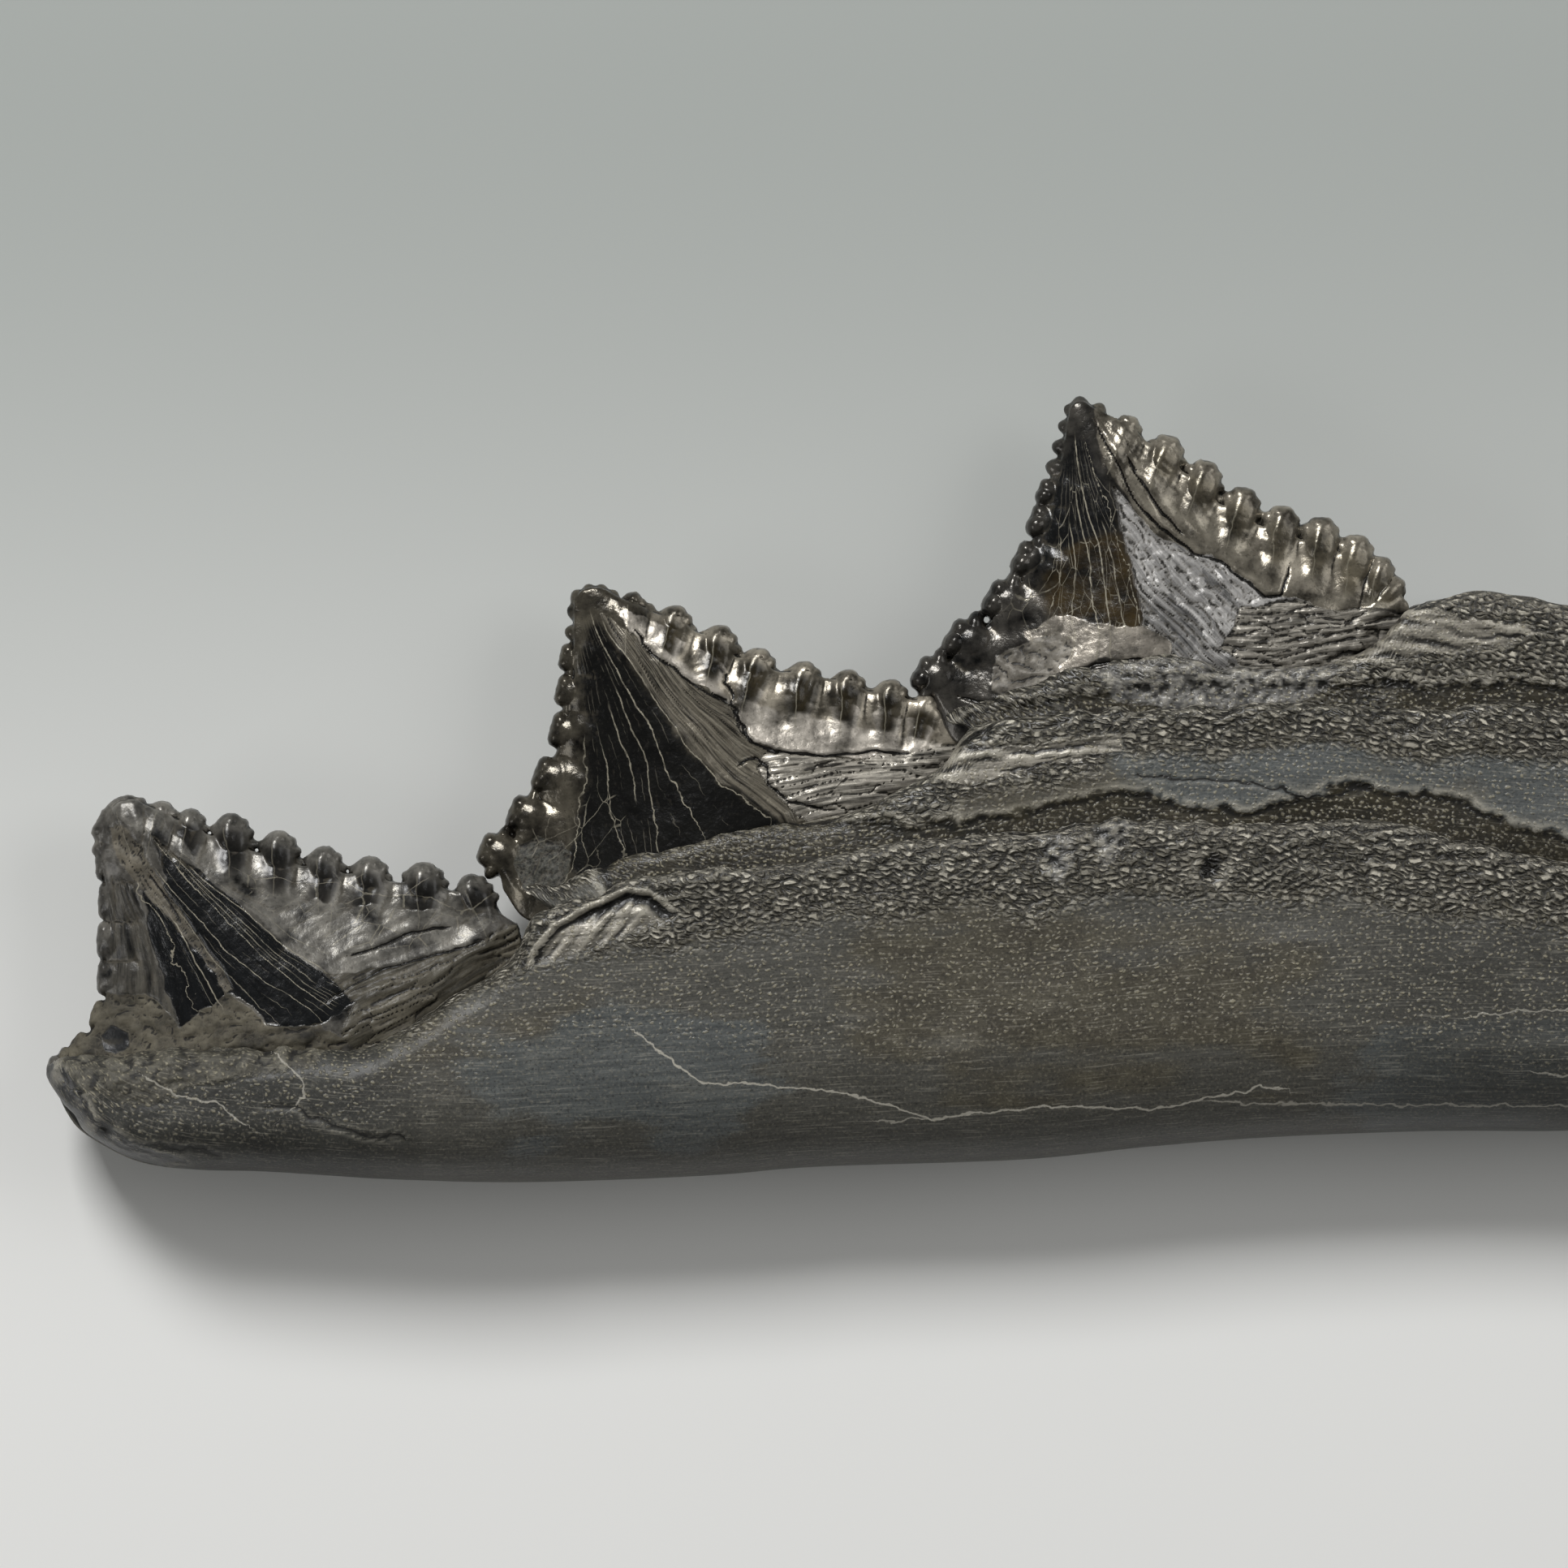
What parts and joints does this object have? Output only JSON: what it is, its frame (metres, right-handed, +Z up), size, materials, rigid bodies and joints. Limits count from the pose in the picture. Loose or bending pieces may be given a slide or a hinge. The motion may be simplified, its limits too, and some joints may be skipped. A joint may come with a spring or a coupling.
{
  "type": "fossil shark jaw",
  "caption": "Fossil jaw of an extinct whorl-toothed shark: triangular serrated crowns on long roots that lie one inside the next, lying on its flat back.",
  "frame": {"origin": "centre of the bounding box in plan, on the surface that the flat back rests on", "axes": "+X along the bar from the oldest tooth to the youngest, +Y towards the tips of the crowns, +Z up out of the front face"},
  "size_m": [0.1686, 0.0648, 0.0157],
  "materials": {
    "worn_tooth": "dull dark grey mineralised root with a worn, half glossy black crown",
    "black_tooth": "glossy black enameloid with pale filled cracks over a granular dark grey root",
    "brown_tooth": "glossy black and amber brown enameloid, bare silvery dentine, granular grey root"
  },
  "bodies": {
    "root": {"front_tooth": "worn_tooth", "middle_tooth": "black_tooth", "rear_tooth": "brown_tooth"}
  },
  "joints": []
}
